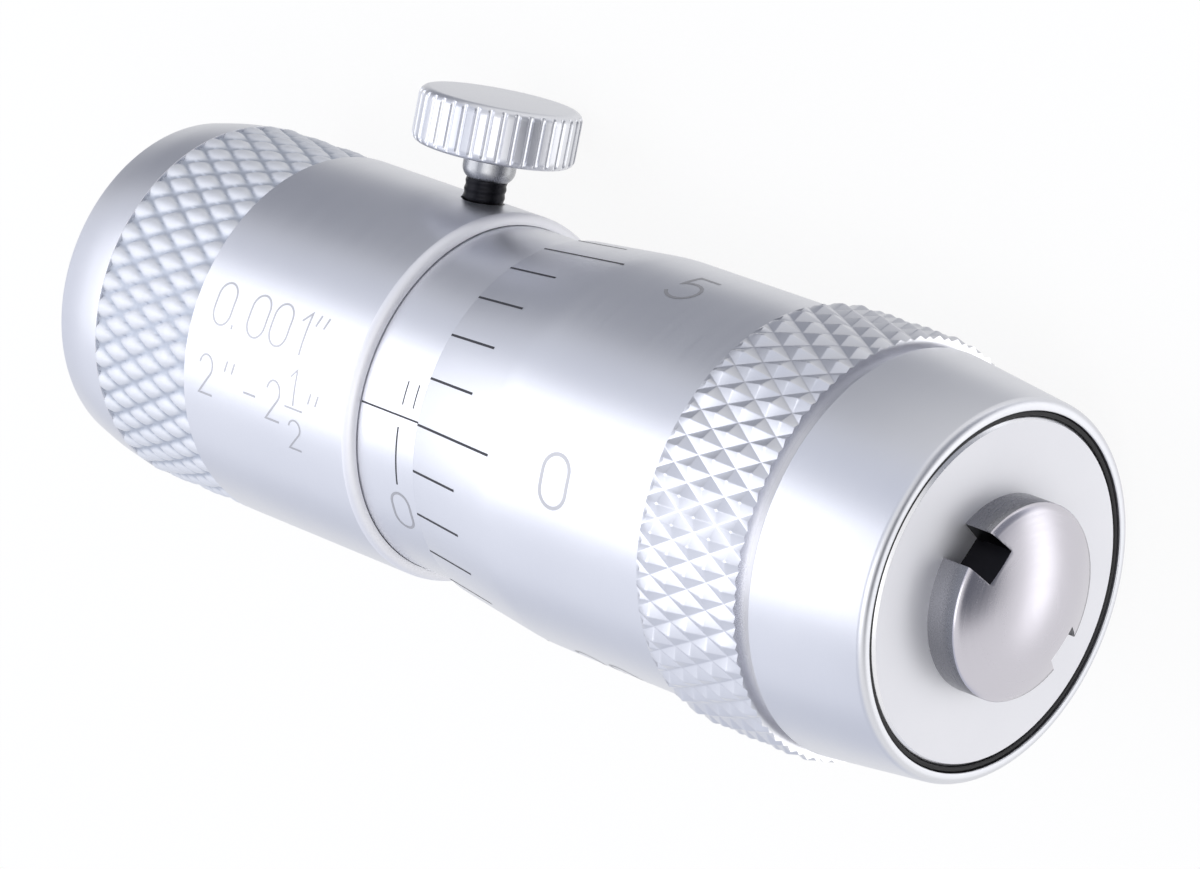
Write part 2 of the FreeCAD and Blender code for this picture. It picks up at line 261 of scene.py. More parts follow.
@dataclass(frozen=True)
class DullFinish(Finish):
    """A rubber or ink that scatters light, with an uneven, slightly dusty skin."""

    name: str
    colour: str
    dust: str
    roughness: float
    ior: float
    patch_mm: float
    grain_mm: float
    grain_depth_mm: float
    roughness_spread: float = 0.08

    def feeds(self, tree: Tree) -> dict[str, object]:
        """What feeds the surface shader.

        Args:
            tree: the material's node tree.

        Returns:
            A socket or value for each of the shader's inputs that is set.
        """
        place = add_node(tree, "TexCoord").outputs["Object"]
        patches = add_node(tree, "TexNoise", {"Vector": place, "Scale": per_mm(self.patch_mm), "Detail": 4.0,
                                              "Roughness": 0.6}).outputs["Fac"]
        tint = add_node(tree, "Mix", {"Factor": patches, 6: linear(self.colour), 7: linear(self.dust)},
                        data_type="RGBA").outputs[2]
        grain = add_node(tree, "TexNoise", {"Vector": place, "Scale": per_mm(self.grain_mm),
                                            "Detail": 2.0}).outputs["Fac"]
        skin = add_node(tree, "Bump", {"Height": grain, "Strength": 1.0,
                                       "Distance": self.grain_depth_mm * MM}).outputs["Normal"]
        rough = add_node(tree, "MapRange", {
            "Value": patches, "To Min": self.roughness - self.roughness_spread,
            "To Max": self.roughness + self.roughness_spread}).outputs["Result"]
        return {"IOR": self.ior, "Base Color": tint, "Roughness": rough, "Normal": skin}


# Each metal: name, colour, shade, roughness, its spread, then grain, its depth, turning, its depth in mm.
# Grain and turning marks finer than these wouldn't show, so they are drawn as coarse as they need to be.

# Hard chrome plate over vapour-blasted steel: a pearly, even sheen with soft edges to its reflections.
SATIN_CHROME = MetalFinish("satin_chrome_plate", "#E3E4E9", "#DBDCE2", 0.36, 0.03, 0.09, 0.0012, 0.12, 0.0006)
# The same plate with a finer blast, on the end disc, the plug and the flange's lip: paler and more matt. On
# the lip the paler colour is a painted highlight.
PALE_CHROME = MetalFinish("matt_chrome_plate", "#F1F1F5", "#ECECF1", 0.6, 0.03, 0.07, 0.0012, 0.2, 0.0003)
# The plate on the worn knurl, blasted matt, with painted shade down in its valleys.
KNURL_CHROME = KnurlFinish("knurl_chrome_painted_valley_shade", "#EAEBEF", "#E2E4E9", 0.64, 0.04, 0.07, 0.0012, 0.2, 0.0003,
                           "#C3C8D2", 7.85, 7.98)
# The plate over polished turning, on the disc's chamfer and side and the thimble knurl's right wall: bright.
# Its paler colour is partly a painted highlight on these faces.
BRIGHT_CHROME = MetalFinish("bright_chrome_plate", "#F4F4F7", "#EFEFF3", 0.26, 0.02, 0.06, 0.0002,
                            0.1, 0.0002)
# Hardened steel, ground and lapped: greyer, with fine rings round the axis and a tighter highlight.
GROUND_STEEL = MetalFinish("ground_hardened_steel", "#D4D1D9", "#CBC8D0", 0.24, 0.04, 0.05, 0.0004,
                           0.06, 0.0012)
# Steel a darker grey than the ground steel, on the contacts' sides and the parts behind their rims.
DARK_GREY_STEEL = MetalFinish("dark_grey_steel", "#96969B", "#7C7D82", 0.28, 0.03, 0.08, 0.0003,
                            0.1, 0.0004)
# Carbon steel as it comes from the lathe, with clear turning marks. On the lock screw's plated neck it is
# painted shade, darker than the chrome.
TURNED_STEEL_AND_NECK_SHADE = MetalFinish("turned_carbon_steel_and_painted_neck_shade", "#B0B1B4", "#A2A3A7", 0.3, 0.06, 0.06, 0.0004, 0.1, 0.003)
# Free-cutting brass as it comes from the lathe.
TURNED_BRASS = MetalFinish("turned_brass", "#D9B36A", "#C9A158", 0.28, 0.05, 0.06, 0.0004, 0.1, 0.002)
# Chrome that a laser has etched for the numbers: the same metal, darker and rougher.
ETCHED_CHROME = MetalFinish("laser_etched_chrome", "#BDBDC1", "#B2B2B6", 0.45, 0.04, 0.04, 0.001, 0.2, 0.0003)
# Steel blackened in hot oxide salts: the metal shows faintly through a near black, oily skin. The contacts'
# slot faces take it too, as painted shade in the slots.
BLACK_OXIDE_AND_SLOT_SHADE = MetalFinish("black_oxide_steel_and_painted_slot_shade", "#26262A", "#1A1A1D", 0.36, 0.06, 0.06, 0.0006, 0.12, 0.0008)

# Each dull one: name, colour, dust, roughness, refraction, then patches, grain and the grain's depth in mm.

# Moulded nitrile rubber: black, matt and slightly dusty.
NITRILE_RUBBER = DullFinish("moulded_nitrile_rubber", "#0D0D10", "#1A1A1E", 0.6, 1.52, 1.2, 0.06, 0.002)
# Black filling enamel wiped into cut lines.
LINE_ENAMEL = DullFinish("black_line_enamel", "#24242B", "#34343C", 0.5, 1.5, 0.4, 0.05, 0.0006)


# Shapes


def rounded(corners: Sequence[Corner], steps: int = 6) -> list[Point]:
    """Round the corners of a turned outline.

    Args:
        corners: each one is (x, radius) or (x, radius, rounding), in millimetres.
        steps: pieces that each rounding is drawn with.

    Returns:
        The outline as points of x and radius.
    """
    spots = [Vector(corner[:2]) for corner in corners]
    outline: list[Point] = []
    for place, corner in enumerate(corners):
        here, before, after = spots[place], spots[place - 1], spots[(place + 1) % len(spots)]
        if len(corner) < 3:
            outline.append((here.x, here.y))
            continue
        back, ahead = (before - here).normalized(), (after - here).normalized()
        half = back.angle(ahead) / 2
        centre = here + (back + ahead).normalized() * (corner[2] / math.sin(half))
        start = here + back * (corner[2] / math.tan(half)) - centre
        end = here + ahead * (corner[2] / math.tan(half)) - centre
        sweep = start.angle_signed(end)
        for step in range(steps + 1):
            turned = start.copy()
            turned.rotate(Matrix.Rotation(-sweep * step / steps, 2))
            outline.append((centre.x + turned.x, centre.y + turned.y))
    return outline


def turn(outline: Sequence[Point], segments: int, reach: Reach | None = None) -> Shape:
    """Turn a closed outline about X.

    Args:
        outline: points of x and radius; those with no radius become one point on the axis.
        segments: how many flats the turn is drawn with.
        reach: gives the largest radius at a place on the axis and an angle.

    Returns:
        The turned shape.
    """
    shape = bmesh.new()
    angles = [math.tau * number / segments for number in range(segments)]
    rings = []
    for x, radius in outline:
        if radius < 1e-6:
            rings.append([shape.verts.new((x, 0.0, 0.0))])
            continue
        ring = []
        for angle in angles:
            out = min(radius, reach(x, angle)) if reach else radius
            ring.append(shape.verts.new((x, out * math.cos(angle), out * math.sin(angle))))
        rings.append(ring)
    for place, ring in enumerate(rings):
        following = rings[(place + 1) % len(rings)]
        if len(ring) == 1 and len(following) == 1:
            continue
        for number in range(segments):
            after = (number + 1) % segments
            corners = [ring[number % len(ring)], following[number % len(following)],
                       following[after % len(following)], ring[after % len(ring)]]
            shape.faces.new(list(dict.fromkeys(corners)))
    bmesh.ops.recalc_face_normals(shape, faces=shape.faces)
    return shape


def bake(shape: Shape, name: str) -> Mesh:
    """Put an edited shape into a mesh and free it.

    Args:
        shape: the shape; it is used up.
        name: the mesh's name.

    Returns:
        The new mesh.
    """
    mesh = bpy.data.meshes.new(name)
    shape.to_mesh(mesh)
    shape.free()
    return mesh


def add_object(name: str, data: bpy.types.ID) -> bpy.types.Object:
    """Put an object with its mesh, lamp or camera into the scene.

    Args:
        name: the object's name.
        data: its mesh, lamp or camera.

    Returns:
        The new object.
    """
    item = bpy.data.objects.new(name, data)
    bpy.context.scene.collection.objects.link(item)
    return item


def box_at(size: Vector, place: Matrix) -> Mesh:
    """A block for cutting.

    Args:
        size: its three sides.
        place: where its middle goes.

    Returns:
        The block's mesh.
    """
    shape = bmesh.new()
    bmesh.ops.create_cube(shape, size=1.0, matrix=place @ Matrix.Diagonal((*size, 1.0)))
    return bake(shape, "cutter")


def cut(mesh: Mesh, cutters: Sequence[Mesh]) -> Mesh:
    """Cut shapes out of a closed mesh.

    Args:
        mesh: what is cut; it is used up.
        cutters: closed meshes to take away; they are used up too.

    Returns:
        The cut mesh.
    """
    whole = add_object("cut", mesh)
    tools = [add_object("tool", cutter) for cutter in cutters]
    for tool in tools:
        modifier = whole.modifiers.new("cut", "BOOLEAN")
        modifier.operation = "DIFFERENCE"
        modifier.solver = "EXACT"
        modifier.object = tool
    result = bpy.data.meshes.new_from_object(whole.evaluated_get(bpy.context.evaluated_depsgraph_get()))
    for item in (whole, *tools):
        used = item.data
        bpy.data.objects.remove(item)
        bpy.data.meshes.remove(used)
    return result


def bevel_edges(shape: Shape, width: float, least_deg: float, profile: float,
                where: Callable[[Vector], bool] = lambda spot: True) -> None:
    """Round the edges of a shape in two steps.

    Args:
        shape: the shape to work on.
        width: how wide each rounding is, in millimetres.
        least_deg: an edge flatter than this is left alone.
        profile: how full the rounding is.
        where: says whether the edge at a place is rounded.
    """
    edges = [edge for edge in shape.edges
             if edge.calc_face_angle(0.0) > math.radians(least_deg)
             and where((edge.verts[0].co + edge.verts[1].co) / 2)]
    bmesh.ops.bevel(shape, geom=edges, offset=width, segments=2, profile=profile, affect="EDGES",
                    clamp_overlap=True)


def upright(along: float) -> Matrix:
    """Where a shape turned about X stands on the lock screw's axis, its X measured outwards."""
    return Matrix.Translation((along, 0.0, 0.0)) @ Matrix.Rotation(math.radians(-90.0), 4, "Y")


@dataclass(frozen=True)
class Piece:
    """A finished piece: its mesh in millimetres, before the head is laid down, and what it is."""

    name: str
    body: Body
    slot: Slot
    finish: Finish
    replaces: tuple[str, ...] = ()
    smooth_deg: float = 35.0
    others: tuple[Finish, ...] = ()
    skin: Callable[[Vector], int] | None = None

    def place(self, mesh: Mesh, stand: Matrix | None = None) -> None:
        """Lay the mesh down in the frame, dress it and make it ride.

        Args:
            mesh: the mesh, in millimetres.
            stand: where it stands on the head, if not on the measuring axis.
        """
        mesh.name = self.name
        mesh.materials.clear()
        for finish in (self.finish, *self.others):
            mesh.materials.append(finish.material())
        if self.skin:
            mesh.polygons.foreach_set("material_index", [self.skin(face.center) for face in mesh.polygons])
        lay = Matrix.Scale(MM, 4) @ LAY.to_4x4()
        mesh.transform(lay @ stand if stand else lay)
        mesh.shade_smooth()
        mesh.set_sharp_from_angle(angle=math.radians(self.smooth_deg))
        mesh.update()
        item = add_object(self.name, mesh)
        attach(item, self.body.value)
        if self.replaces:
            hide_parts(*self.replaces)
        LOG.info("%s: %d faces on %s", self.name, len(mesh.polygons), self.body.value)

    def turned(self, outline: Sequence[Point], segments: int = SEGMENTS, reach: Reach | None = None,
               stand: Matrix | None = None) -> None:
        """Turn an outline about X and place what comes of it.

        Args:
            outline: points of x and radius.
            segments: how many flats the turn is drawn with.
            reach: gives the largest radius at a place on the axis and an angle.
            stand: where it stands on the head, if not on the measuring axis.
        """
        self.place(bake(turn(outline, segments, reach), self.name), stand)


@dataclass
class Knurl:
    """A band of rolled diamond teeth round the measuring axis."""

    left: float
    right: float
    lead: float
    half_pitch: float
    teeth: int
    turn_deg: float
    crest: float
    depth: float
    foot: float
    left_chamfer: float
    right_chamfer: float
    flat_share: float = 0.1
    edge_width: float = 0.03
    edge_deg: float = 8.0
    shape: Shape = field(init=False, repr=False, default_factory=bmesh.new)
    known: dict[Point, bmesh.types.BMVert] = field(init=False, repr=False, default_factory=dict)

    def spot(self, column: float, slot: float, radius: float) -> Vector:
        """A place on the band, by its column and slot of teeth.

        Args:
            column: the place along the axis, in columns.
            slot: the place round the axis, in slots.
            radius: how far it is from the axis.

        Returns:
            The place, in millimetres.
        """
        angle = math.radians(self.turn_deg + slot * 180.0 / self.teeth)
        return Vector((self.left - self.lead + column * self.half_pitch,
                       radius * math.cos(angle), radius * math.sin(angle)))

    def roll(self) -> None:
        """Build the teeth as an open band, running a little past both ends."""
        columns = math.ceil((self.right - self.left + self.lead) / self.half_pitch)
        for column in range(-1, columns + 2):
            for slot in range(2 * self.teeth):
                if (column + slot) % 2 == 0:
                    self.tooth(column, slot)
        bmesh.ops.recalc_face_normals(self.shape, faces=self.shape.faces)

    def vert(self, column: float, slot: float, radius: float) -> bmesh.types.BMVert:
        """The one vertex at a place on the band.

        Args:
            column: the place along the axis, in columns.
            slot: the place round the axis, in slots.
            radius: how far from the axis a new vertex is put.

        Returns:
            The vertex, new or known.
        """
        key = (round(column, 4), round(slot % (2 * self.teeth), 4))
        if key not in self.known:
            self.known[key] = self.shape.verts.new(self.spot(column, slot, radius))
        return self.known[key]

    def tooth(self, column: int, slot: int) -> None:
        """Build one tooth: a pyramid with a small flat on top.

        Args:
            column: its column along the axis.
            slot: its slot round the axis.
        """
        root, share = self.crest - self.depth, self.flat_share
        ways = ((-1, 0), (0, -1), (1, 0), (0, 1))
        valleys = [self.vert(column + a, slot + b, root) for a, b in ways]
        flats = [self.vert(column + a * share, slot + b * share, self.crest) for a, b in ways]
        self.shape.faces.new(flats)
        for place in range(4):
            after = (place + 1) % 4
            self.shape.faces.new([valleys[place], valleys[after], flats[after], flats[place]])

    def soften(self) -> None:
        """Round the teeth's edges and the valleys between them."""
        bevel_edges(self.shape, self.edge_width, self.edge_deg, profile=0.5)

    def mesh(self) -> Mesh:
        """Roll and soften the teeth, trim the band and close its ends.

        Returns:
            The band's mesh.
        """
        self.roll()
        self.soften()
        shape = self.shape
        ends = ((self.left, -1.0, self.left_chamfer), (self.right, 1.0, self.right_chamfer))
        for end, way, chamfer in ends:
            for station, trim in ((end - way * chamfer, False), (end, True)):
                whole = [*shape.verts, *shape.edges, *shape.faces]
                bmesh.ops.bisect_plane(shape, geom=whole, dist=1e-6, plane_co=(station, 0.0, 0.0),
                                       plane_no=(way, 0.0, 0.0), clear_outer=trim)
        for vert in shape.verts:
            radius = math.hypot(vert.co.y, vert.co.z)
            limit = self.crest + min(vert.co.x - self.left - self.left_chamfer,
                                     self.right - vert.co.x - self.right_chamfer)
            if radius > limit:
                vert.co.yz = vert.co.yz * (limit / radius)
        rim = [edge for edge in shape.edges if edge.is_boundary]
        walls = bmesh.ops.extrude_edge_only(shape, edges=rim)["geom"]
        for vert in (item for item in walls if isinstance(item, bmesh.types.BMVert)):
            vert.co.yz = vert.co.yz * (self.foot / math.hypot(vert.co.y, vert.co.z))
        bmesh.ops.recalc_face_normals(shape, faces=shape.faces)
        return bake(shape, "knurl")


@dataclass
class PillowKnurl(Knurl):
    """A worn, plated knurl whose teeth are soft pillows between narrow valleys."""

    pieces: int = 8
    fullness: float = 2.4

    def tooth(self, column: int, slot: int) -> None:
        """Build one tooth as a grid that swells from its valleys to a round top.

        Args:
            column: its column along the axis.
            slot: its slot round the axis.
        """
        shares = [number / self.pieces for number in range(self.pieces + 1)]
        swell = {share: 1.0 - abs(2.0 * share - 1.0) ** self.fullness for share in shares}
        grid = [[self.vert(column - 1 + p + q, slot + p - q,
                           self.crest - self.depth * (1.0 - swell[p] * swell[q]))
                 for q in shares] for p in shares]
        for low, high in zip(grid, grid[1:]):
            for place in range(self.pieces):
                self.shape.faces.new([low[place], low[place + 1], high[place + 1], high[place]])

    def soften(self) -> None:
        """Leave the pillows as they are."""


def arc(centre: Point, radii: Point, start_deg: float, end_deg: float, steps: int = 14) -> list[Point]:
    """Points on an ellipse, from one angle to another.

    Args:
        centre: the ellipse's middle.
        radii: its two half widths.
        start_deg: the first point's angle.
        end_deg: the last point's angle.
        steps: how many pieces the way is cut into.

    Returns:
        The points, both ends among them.
    """
    angles = [math.radians(start_deg + (end_deg - start_deg) * step / steps) for step in range(steps + 1)]
    return [(centre[0] + radii[0] * math.cos(angle), centre[1] + radii[1] * math.sin(angle))
            for angle in angles]


class Numeral:
    """The plain engraver's figures, drawn in a cell one unit high."""

    WIDTH = 0.6
    STROKES: ClassVar[dict[str, list[list[Point]]]] = {
        "0": [arc((0.3, 0.68), (0.3, 0.32), 0, 180) + arc((0.3, 0.32), (0.3, 0.32), 180, 360)
              + [(0.6, 0.68)]],
        "1": [[(0.12, 0.76), (0.36, 1.0), (0.36, 0.0)]],
        "2": [arc((0.3, 0.72), (0.28, 0.28), 170, -40) + [(0.02, 0.0), (0.6, 0.0)]],
        "3": [arc((0.28, 0.75), (0.26, 0.25), 160, -90) + arc((0.28, 0.26), (0.3, 0.26), 75, -160)],
        "4": [[(0.46, 0.0), (0.46, 1.0), (0.0, 0.28), (0.62, 0.28)]],
        "5": [[(0.54, 1.0), (0.1, 1.0), (0.06, 0.54)] + arc((0.28, 0.33), (0.31, 0.33), 125, -150)],
        ".": [[(0.1, 0.0), (0.1, 0.1)]],
        "-": [[(0.0, 0.42), (0.6, 0.42)]],
        "\"": [[(0.08, 1.02), (0.02, 0.74)], [(0.3, 1.02), (0.24, 0.74)]],
    }

    @classmethod
    def strokes(cls, figure: str, left: float, height: float, width: float) -> list[list[Point]]:
        """One figure's strokes, standing on a foot line at 0.

        Args:
            figure: the character.
            left: where its cell starts.
            height: how tall it is.
            width: how wide its cell is.

        Returns:
            Its strokes as lists of points.
        """
        return [[(left + x * width / cls.WIDTH, y * height) for x, y in stroke]
                for stroke in cls.STROKES[figure]]


@dataclass
class Engraving:
    """Fine lines that follow a turned surface, each a ribbon that stands a few microns proud of it."""

    surface: Callable[[float], float]
    scale_radius: float
    proud: float = 0.006
    step: float = 0.2

    def __post_init__(self) -> None:
        """Start with no lines, and note how long a degree is round the surface."""
        self.shape = bmesh.new()
        self.degree = math.radians(1.0) * self.scale_radius

    def spot(self, x: float, turned_deg: float) -> Vector:
        """A place just over the surface.

        Args:
            x: the place along the axis.
            turned_deg: the angle from the index line towards the lock screw.

        Returns:
            The place, in millimetres.
        """
        radius = self.surface(x) + self.proud
        angle = math.radians(turned_deg)
        return Vector((x, -radius * math.cos(angle), radius * math.sin(angle)))

    def ribbon(self, points: Sequence[Point], width: float) -> None:
        """Draw one stroke.

        Args:
            points: x in millimetres and angle in degrees.
            width: how wide the stroke is, in millimetres.
        """
        flat = [np.array((x, turned * self.degree)) for x, turned in points]
        path = [flat[0]]
        for start, end in zip(flat, flat[1:]):
            pieces = max(1, math.ceil(np.linalg.norm(end - start) / self.step))
            path += [start + (end - start) * piece / pieces for piece in range(1, pieces + 1)]
        pairs = []
        for place, here in enumerate(path):
            before = here - path[place - 1] if place else path[1] - here
            after = path[place + 1] - here if place + 1 < len(path) else before
            ways = [way / np.linalg.norm(way) for way in (before, after)]
            across = np.array((-(ways[0] + ways[1])[1], (ways[0] + ways[1])[0]))
            across /= np.linalg.norm(across)
            spread = min(2.0, 1.0 / max(0.2, abs(across @ np.array((-ways[0][1], ways[0][0])))))
            sides = [here + across * sign * width / 2 * spread for sign in (-1, 1)]
            pairs.append([self.shape.verts.new(self.spot(side[0], side[1] / self.degree)) for side in sides])
        for first, second in zip(pairs, pairs[1:]):
            self.shape.faces.new([first[0], second[0], second[1], first[1]])

    def write(self, text: str, left: float, foot_deg: float, height: float, width: float, stroke: float,
              pitch: float = 0.0) -> None:
        """Write figures that read along the axis.

        Args:
            text: the figures.
            left: x where the first cell starts.
            foot_deg: the angle at which the figures stand.
            height: their height, in millimetres round the surface.
            width: the width of a cell.
            stroke: the width of a stroke.
            pitch: from one cell to the next.
        """
        for number, figure in enumerate(text):
            for line in Numeral.strokes(figure, left + number * pitch, height, width):
                self.ribbon([(x, foot_deg + y / self.degree) for x, y in line], stroke)

    def mesh(self) -> Mesh:
        """Put every line into one mesh, facing outwards.

        Returns:
            The lines' mesh.
        """
        for face in self.shape.faces:
            face.normal_update()
            middle = face.calc_center_median()
            if face.normal.y * middle.y + face.normal.z * middle.z < 0:
                face.normal_flip()
        return bake(self.shape, "engraving")


# The head's pieces


@dataclass
class BodyTube:
    """The outer tube, with its end band, flush knurl, plain grip, flange and inscription."""

    left: float = -10.9
    radius: float = 8.05
    band_length: float = 3.0
    knurl_length: float = 5.85
    knurl_floor: float = 7.5
    band_drops: tuple[float, float, float] = (0.04, 0.255, 0.6)
    band_round: float = 12.0
    lip_round: float = 0.42
    recess_radius: float = 7.62
    recess_depth: float = 0.06
    seat_radius: float = 7.59
    seat_depth: float = 1.0
    lock_hole: float = 0.95
    # Figures, their middles in units from the rim, then in millimetres how far left of that their cell
    # starts, the angle of their foot, their height, the cell's width and the stroke's.
    marks: ClassVar[tuple[tuple[str, tuple[float, ...], float, float, float, float, float], ...]] = (
        ("0.001", (-4.415, -4.28, -4.163, -3.997, -3.83), 0.525, 6.8, 1.85, 1.05, 0.09),
        ("\"", (-3.75,), 0.2, 6.8, 1.85, 1.3, 0.09),
        ("22", (-4.45, -3.945), 0.425, -15.3, 1.73, 0.85, 0.09),
        ("-", (-4.117,), 0.375, -15.3, 1.73, 0.75, 0.09),
        ("\"", (-4.275,), 0.35, -15.3, 1.73, 1.2, 0.09),
        ("\"", (-3.684,), 0.1, -15.3, 1.73, 1.2, 0.09),
        ("1", (-3.794,), 0.5, -8.4, 1.55, 0.8, 0.08),
        ("2", (-3.78,), 0.38, -22.0, 1.3, 0.75, 0.08))
    fraction_line: ClassVar[tuple[Point, Point]] = ((-3.855, -9.27), (-3.727, -9.27))
    fraction_stroke: ClassVar[float] = 0.08

    def tube(self) -> None:
        """Build the tube itself, with a shallow trough where the knurl goes."""
        knurl_left = self.left + self.band_length
        knurl_right = knurl_left + self.knurl_length
        first, middle, last = (self.radius - drop for drop in self.band_drops)
        recess, seat = FLANGE - self.recess_depth, FLANGE - self.seat_depth
        outline = rounded([
            (self.left, BODY_BORE, 0.08), (self.left, last, 0.15),
            (self.left + self.band_length / 2, middle, self.band_round),
            (knurl_left, first, 0.03), (knurl_left, self.knurl_floor),
            (knurl_right, self.knurl_floor), (knurl_right, self.radius, 0.03),
            (FLANGE, self.radius, self.lip_round), (FLANGE, self.recess_radius),
            (recess, self.recess_radius), (recess, self.seat_radius),
            (seat, self.seat_radius), (seat, BODY_BORE)], steps=10)
        drill = turn([(0.0, 0.0), (0.0, self.lock_hole), (9.0, self.lock_hole), (9.0, 0.0)], 48)
        drill.transform(upright(LOCK_X))
        tube = cut(bake(turn(outline, SEGMENTS), "tube"), [bake(drill, "drill")])
        lip = FLANGE - self.lip_round
        # The flange's lip takes the paler plate; its paler colour is a painted highlight on the lip.
        Piece("body_shell", Body.BODY, Slot.SATIN_CHROME, SATIN_CHROME, ("body_tube",), others=(PALE_CHROME,),
              skin=lambda spot: int(spot.x > lip and spot.yz.length > self.recess_radius)).place(tube)

    def knurl(self) -> None:
        """Build the flush knurl, whose teeth are worn round."""
        left = self.left + self.band_length
        teeth = PillowKnurl(left=left, right=left + self.knurl_length, lead=0.79, half_pitch=1.04, teeth=43,
                            turn_deg=1.3, crest=self.radius, depth=0.2, foot=self.knurl_floor,
                            left_chamfer=0.04, right_chamfer=0.04)
        Piece("body_knurl", Body.BODY, Slot.SATIN_CHROME, KNURL_CHROME, ("body_tube",), 70.0).place(
            teeth.mesh())

    def inscription(self) -> None:
        """Write the value of a division and the range on the plain grip."""
        text = Engraving(lambda x: self.radius, self.radius)
        for figures, middles, lead, foot_deg, height, width, stroke in self.marks:
            for figure, middle in zip(figures, middles):
                text.write(figure, RIM + middle * UNIT - lead, foot_deg, height, width, stroke)
        line = [(RIM + place * UNIT, turned) for place, turned in self.fraction_line]
        text.ribbon(line, self.fraction_stroke)
        Piece("body_inscription", Body.BODY, Slot.SATIN_CHROME, ETCHED_CHROME).place(text.mesh())

    def build(self) -> None:
        """Build every piece of the body tube."""
        self.tube()
        self.knurl()
        self.inscription()


@dataclass
class EndPlug:
    """The disc in the closed end of the body."""

    face: float = -10.85
    thickness: float = 2.0
    radius: float = 6.58
    edge_round: float = 0.15

    def build(self) -> None:
        """Build the plug."""
        inner = self.face + self.thickness
        Piece("closing_plug", Body.BODY, Slot.SATIN_CHROME, PALE_CHROME, ("end_plug",)).turned(rounded([
            (self.face, CONTACT_HOLE), (self.face, self.radius, self.edge_round), (inner, self.radius),
            (inner, CONTACT_HOLE)]), 256)


@dataclass
class GraduatedSleeve:
    """The thin tube with the index line and the inch scale."""

    left: float = 7.2846
    right: float = 24.2846
    radius: float = 7.57
    edge_round: float = 0.08
    zero: float = 10.6346
    division: float = 0.635
    divisions: int = 20
    line_width: float = 0.08
    short_line_deg: Point = (3.6, 11.15)
    long_line_deg: Point = (-3.6, -22.7)
    number_foot_deg: float = -39.0
    number_height: float = 1.72
    number_width: float = 1.05
    number_stroke: float = 0.12

    def tube(self) -> None:
        """Build the sleeve itself."""
        Piece("scale_sleeve", Body.BODY, Slot.SATIN_CHROME, SATIN_CHROME, ("graduated_sleeve",)).turned(
            rounded([(self.left, BODY_BORE), (self.left, self.radius),
                     (self.right, self.radius, self.edge_round), (self.right, BODY_BORE)]))

    def scale(self) -> None:
        """Draw the index line, a line at each division and longer ones at each tenth of an inch."""
        lines = Engraving(lambda x: self.radius, self.radius)
        end = self.zero + self.divisions * self.division + 0.4
        lines.ribbon([(FLANGE + 0.05, 0.0), (end, 0.0)], self.line_width)
        for number in range(self.divisions + 1):
            x = self.zero + number * self.division
            lines.ribbon([(x, turned) for turned in self.short_line_deg], self.line_width * 0.75)
            if number % 4 == 0:
                lines.ribbon([(x, turned) for turned in self.long_line_deg], self.line_width)
        Piece("sleeve_lines", Body.BODY, Slot.LINE_FILL, LINE_ENAMEL).place(lines.mesh())

    def numbers(self) -> None:
        """Number every tenth of an inch below its line."""
        figures = Engraving(lambda x: self.radius, self.radius)
        for number in range(self.divisions // 4 + 1):
            x = self.zero + 4 * number * self.division
            figures.write(str(number), x - self.number_width / 2, self.number_foot_deg, self.number_height,
                          self.number_width, self.number_stroke)
        Piece("sleeve_numbers", Body.BODY, Slot.SATIN_CHROME, ETCHED_CHROME).place(figures.mesh())

    def build(self) -> None:
        """Build every piece of the sleeve."""
        self.tube()
        self.scale()
        self.numbers()


